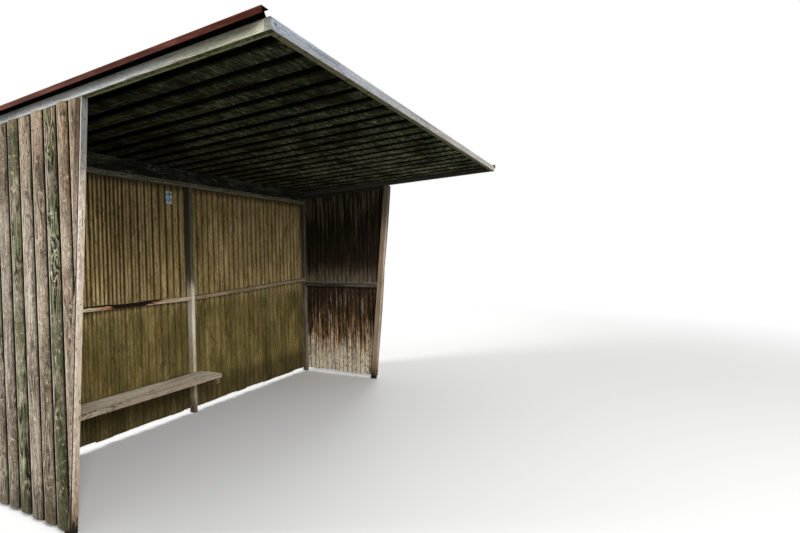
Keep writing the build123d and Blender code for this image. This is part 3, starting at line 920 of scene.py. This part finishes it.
def side_inner(n, wood, at):
    """Near black under the roof, painted shade over dirt, brown at the rail, bleached and streaked towards
    the ground.
    """
    pos = n.place()
    drift = n.drawn(pos, 0.045, 40, 4, 0.68)
    fine = n.drawn(pos, 0.07, 95, 4, 0.7)
    blotch = n.drawn(pos, 0.45, 15, 5, 0.68)
    wide = n.drawn(pos, 0.25, 6, 3, 0.6)
    wander = n.stray(at.z, blotch, 0.8)
    wander = n.stray(wander, wide, 0.9)
    # darker upwards: near black under the roof is painted shade over dirt
    tone = n.ramp(
        n.div(wander, 2.5),
        (0.09, (255, 242, 216)), (0.17, (238, 214, 180)), (0.22, (176, 138, 98)), (0.29, (104, 74, 47)),
        (0.37, (56, 41, 28)), (0.48, (38, 30, 22)), (0.66, (27, 22, 16)), (0.84, (22, 19, 13)),
        (0.93, (36, 32, 24)),
    )
    low = n.step(at.z, 1.3, 1.12)
    speck = n.drawn(pos, 0.3, 75, 4, 0.72)
    speck = n.mix(n.step(speck, 0.38, 0.54), (136, 120, 104), (255, 255, 255))
    wood = n.mix(0.88, wood, n.mix(1.0, tone, speck, "MULTIPLY"))
    light = n.mul(n.step(drift, 0.52, 0.6), n.step(blotch, 0.4, 0.58))
    bare = n.mix(low, (96, 86, 68), (204, 188, 160))
    wood = n.lay(wood, bare, light, n.lerp(n.step(at.z, 1.25, 0.5), 0.3, 0.75))
    dark = n.step(n.drawn(pos, 0.06, 38, 4, 0.68), 0.51, 0.58)
    wood = n.lay(wood, (32, 23, 15), dark, n.lerp(n.step(at.z, 0.15, 0.55), 0.35, 0.9))
    top = n.stray(at.z, drift, 1.0)
    drips = n.mul(n.step(top, 2.0, 2.44), n.step(drift, 0.46, 0.58))
    wood = n.lay(wood, (124, 114, 90), drips, 0.75)
    spray = n.step(n.stray(at.z, drift, 0.5), 1.52, 1.26)
    above_rail = n.step(at.z, SIDE_RAIL_TOP - 0.005, SIDE_RAIL_TOP + 0.001)
    splash = n.mul(n.mul(above_rail, spray), n.step(fine, 0.36, 0.6))
    wood = n.lay(wood, n.mix(drift, (96, 84, 68), (176, 164, 140)), splash, 0.75)
    # joints near black: dirt with painted shade
    joint = n.mul(n.step(at.dirt_and_shade, 0.6, 1.0), n.lerp(n.step(at.z, 0.15, 0.6), 0.7, 0.9))
    return n.mix(joint, wood, (14, 11, 8))


SIDE_WOOD = ((60, 48, 34), (112, 92, 66), (160, 140, 110))
BACK_WOOD = ((98, 80, 45), (166, 143, 99), (220, 198, 152))
mat_side_boards = board_material("side_board_wood", OUTER_WOOD, SIDE_WOOD, side_inner)
mat_back_boards = board_material("back_board_wood", OUTER_WOOD, BACK_WOOD, back_inner)


def back_layout():
    """Start and width of each board of the back wall, the first and last cut to fit."""
    layout = [(0.0, BACK_FIRST)]
    while sum(layout[-1]) < 2 * HALF - 1e-6:
        start = sum(layout[-1])
        layout.append((start, min(BACK_COVER, 2 * HALF - start)))
    return layout


def back_top(s):
    return roof_under(SIDE_START) + BEAM_H - BACK_DROP + 0 * s


def back_boards(numbers):
    under_beam = roof_under(SIDE_START) - NOTCH_GAP
    layout = back_layout()
    boards = []
    for k in numbers:
        start, width = layout[k]
        board = dict(start=start, width=width, cover=BACK_COVER, seed=100 + k)
        board.update(low=FOOT_LIFT, foot=BACK_FOOT, high=back_top, cut=0.0)
        # the boards nearest the left end have four beads, the next ones a trace of them
        x = start + width / 2 - HALF
        board["quarter"] = 1.1 if x < -0.72 else 0.6 if x < -0.38 else 0.12
        if k == 0:
            board.update(notch=(-1, NOTCH, under_beam), slot=False)
        if k == len(layout) - 1:
            board.update(notch=(2 * HALF - NOTCH, 9, under_beam), tongue=False)
        boards.append(board)
    return boards


def back_place(s, d, z):
    return s - HALF, BACK_Y + d, z


left_bay, right_bay = range(LEFT_BAY_BOARDS), range(LEFT_BAY_BOARDS, len(back_layout()))
for name, numbers in (("boards_back_left", left_bay), ("boards_back_right", right_bay)):
    obj = board_mesh(name + "_detail", back_boards(numbers), back_place, rows=80)
    finish(obj, mat_back_boards, "back_boards", name)


def side_top(s):
    return roof_under(SIDE_START - s)


def side_boards(seed, cuts, moods):
    boards = []
    for k, cut in enumerate(cuts):
        board = dict(start=k * COVER, low=FOOT_LIFT, foot=SIDE_FOOT, high=side_top, cut=cut, seed=seed + k)
        if k == 0:
            board["slot"] = False
        if k >= FIRST_RAKED:
            board["stop"] = rake
        if k == len(cuts) - 2:
            board["width"] = COVER - LAST_JOINT
        if k == len(cuts) - 1:
            # the wedge starts where the leaning cut passes its near edge
            board["start"] -= LAST_JOINT
            tip = (board["start"] + WEDGE_TIP - (SIDE_START - FOOT_Y)) / LEAN
            board.update(low=tip, foot=0.0, tongue=False)
        if k in moods:
            board["mood"] = moods[k]
        boards.append(board)
    return boards


def side_place(sign):
    """Puts the boards on the left wall for -1 and on the right wall for 1."""
    return lambda s, d, z: (sign * (HALF + d), SIDE_START - s, z)


for side, sign, seed, cuts, moods, rows in (
    ("left", -1, 300, CUTS_LEFT, MOODS_LEFT, 112), ("right", 1, 400, CUTS_RIGHT, {}, 100)
):
    obj = board_mesh("boards_" + side + "_detail", side_boards(seed, cuts, moods), side_place(sign), rows)
    finish(obj, mat_side_boards, "side_boards", "boards_" + side)


# Fixings, and the blank label on the back wall
def domed_heads(name, places, radius, rise, washer=0.0):
    """Low domed heads in one mesh, one for each foot and outward direction, each a closed solid."""
    turn = np.arange(HEAD_SIDES) * 2 * math.pi / HEAD_SIDES
    rings = [(radius, 0.0), (radius, rise * 0.55), (radius * 0.62, rise * 0.90)]
    if washer:
        rings = [(washer, 0.0), (washer, rise * 0.25), (radius, rise * 0.32)] + rings[1:]
    verts, faces = [], []
    for foot, out in places:
        out = Vector(out).normalized()
        side = out.orthogonal().normalized()
        other = out.cross(side)
        base = len(verts)
        for reach, height in rings:
            for a in turn:
                across = side * (reach * math.cos(a)) + other * (reach * math.sin(a))
                verts.append(tuple(Vector(foot) + across + out * height))
        tip = len(verts)
        verts.append(tuple(Vector(foot) + out * rise))
        last = base + (len(rings) - 1) * HEAD_SIDES
        for low in range(base, last, HEAD_SIDES):
            for i in range(HEAD_SIDES):
                j = (i + 1) % HEAD_SIDES
                faces.append((low + i, low + j, low + HEAD_SIDES + j, low + HEAD_SIDES + i))
        faces += [(last + i, last + (i + 1) % HEAD_SIDES, tip) for i in range(HEAD_SIDES)]
        faces.append(tuple(base + i for i in reversed(range(HEAD_SIDES))))
    mesh = bpy.data.meshes.new(name)
    mesh.from_pydata(verts, [], faces)
    smooth(mesh, 50)
    return add_object(name, mesh)


def make_steel(name, dark, light, metal, rough):
    n = Net(name)
    tone = n.ramp(n.noise(n.place(), 420, 3, 0.6), (0.38, dark), (0.62, light))
    return n.surface(tone, rough, metal=metal)


def side_nails(sign):
    places = []
    for k in range(len(CUTS_LEFT)):
        for z in NAIL_ROWS_SIDE:
            for shift in NAIL_OFFSETS:
                s = (k + 0.5) * COVER + shift
                if s < rake(z) - NAIL_FROM_CUT:
                    places.append(((sign * (HALF + NAIL_DEPTH), SIDE_START - s, z), (sign, 0, 0)))
    return places


def back_nails():
    return [
        ((start + width / 2 + shift - HALF, BACK_Y + NAIL_DEPTH, z), (0, 1, 0))
        for start, width in back_layout() for z in NAIL_ROWS_BACK for shift in NAIL_OFFSETS
    ]


def roof_screws():
    """One screw to a pan, where the sheets lie on the fascia, the header beam and the rear beam."""
    return [
        ((-EDGE_RIB + (k + 0.5) * RIB_PITCH, y, roof_under(y) + BEAM_H + SCREW_LIFT), (0, SLOPE, 1))
        for k in range(PANS) for y in SCREW_LINES
    ]


mat_nail = make_steel("nail_rust", (26, 18, 14), (70, 46, 34), 0.2, 0.8)
mat_screw = make_steel("screw_zinc", (96, 94, 90), (150, 148, 142), 0.6, 0.55)
verge_spots = [
    ((sign * HALF, y, roof_under(y) + VERGE_NAIL_UP), (sign, 0, 0)) for sign in (-1, 1) for y in VERGE_NAILS
]
for side, sign in (("left", -1), ("right", 1)):
    finish(domed_heads("nails_" + side, side_nails(sign), *NAIL_HEAD), mat_nail, "side_boards")
finish(domed_heads("nails_back", back_nails(), *NAIL_HEAD), mat_nail, "back_boards")
finish(domed_heads("roof_screws", roof_screws(), *SCREW_HEAD), mat_screw, "roof_sheet")
finish(domed_heads("verge_nails", verge_spots, *VERGE_HEAD), mat_nail, "roof_beam")


def make_label():
    """A thin blank label, worn and curling at its lower corner."""
    u, v = np.meshgrid(np.linspace(0, 1, LABEL_ACROSS), np.linspace(0, 1, LABEL_UP))
    curl = 0.0022 * np.clip(u - v + 0.1, 0, 1) ** 2.5
    x = LABEL_X[0] + u * (LABEL_X[1] - LABEL_X[0])
    z = LABEL_Z[0] + v * (LABEL_Z[1] - LABEL_Z[0])
    front = np.stack([x, BACK_Y - LABEL_OFF - curl, z], -1).reshape(-1, 3)
    rear = front + np.array([0, LABEL_THICK, 0])
    count = len(front)
    grid = np.arange(count).reshape(LABEL_UP, LABEL_ACROSS)
    quads = np.stack([grid[:-1, :-1], grid[:-1, 1:], grid[1:, 1:], grid[1:, :-1]], -1).reshape(-1, 4)
    rim = np.concatenate([grid[0], grid[1:, -1], grid[-1, -2::-1], grid[-2:0:-1, 0]])
    faces = quads.tolist() + (quads[:, ::-1] + count).tolist()
    after = np.roll(rim, -1)
    faces += np.stack([after, rim, rim + count, after + count], -1).tolist()
    mesh = bpy.data.meshes.new("label")
    mesh.from_pydata(np.concatenate([front, rear]).tolist(), [], faces)
    n = Net("label_worn")
    wear = n.noise(n.place(), 34, 4, 0.66)
    colour = n.ramp(wear, (0.38, (70, 100, 120)), (0.5, (150, 176, 194)), (0.6, (224, 236, 244)))
    finish(add_object("label", mesh), n.surface(colour, 0.6, spec=0.2), "back_boards")


make_label()


# Floor and light
def make_floor():
    """A pale floor that keeps the shadow and turns white far out."""
    n = Net("floor_stage")
    seen = n.seen()
    colour = n.mix(seen, (0.25, 0.25, 0.22, 1), (0.7, 0.7, 0.69, 1))
    lit = n.node("BsdfDiffuse", {"Color": colour})
    glow = n.node("Emission", {"Color": (1, 1, 1, 1), "Strength": 1.0})
    away = n.node("VectorMath", {0: n.place()}, operation="LENGTH").outputs["Value"]
    fade = n.mul(n.step(away, *FADE), seen)
    material = n.output(n.node("MixShader", {0: fade, 1: lit.outputs[0], 2: glow.outputs[0]}))
    mesh = bpy.data.meshes.new("floor")
    corners = [(x * FLOOR_SIZE, y * FLOOR_SIZE, 0) for x, y in ((-1, -1), (1, -1), (1, 1), (-1, 1))]
    mesh.from_pydata(corners, [], [(0, 1, 2, 3)])
    mesh.materials.append(material)
    floor = add_object("floor", mesh)


def make_sky():
    """White behind the object, and an even, softer light on it."""
    n = Net("studio", bpy.data.worlds.new("studio"))
    level = n.lerp(n.seen(), SKY_LIGHT, 1.0)
    sky = n.node("Background", {"Color": (1, 1, 1, 1), "Strength": level})
    bpy.context.scene.world = n.output(sky, "World")


def lamp(name, at, towards, size, watts):
    data = bpy.data.lights.new(name, "AREA")
    data.shape = "DISK"
    data.size = size
    data.energy = watts
    obj = add_object(name, data)
    obj.location = at
    obj.rotation_mode = "QUATERNION"
    obj.rotation_quaternion = (Vector(towards) - Vector(at)).to_track_quat("-Z", "Y")


make_floor()
make_sky()
lamp("key_left", (-5.0, 8.0, 4.5), (-1.6, 0.6, 1.3), 3.0, 1150)
lamp("fill_front", (-2.5, -9.0, 3.0), (0.0, 0.5, 1.2), 5.0, 260)
lamp("fill_left", (-5.0, -7.5, 5.6), (0.9, 0.6, 0.7), 3.0, 780)
lamp("fill_right", (9.0, 2.5, 5.0), (1.5, 0.3, 1.2), 4.0, 380)

bpy.context.scene.view_settings.view_transform = "Standard"
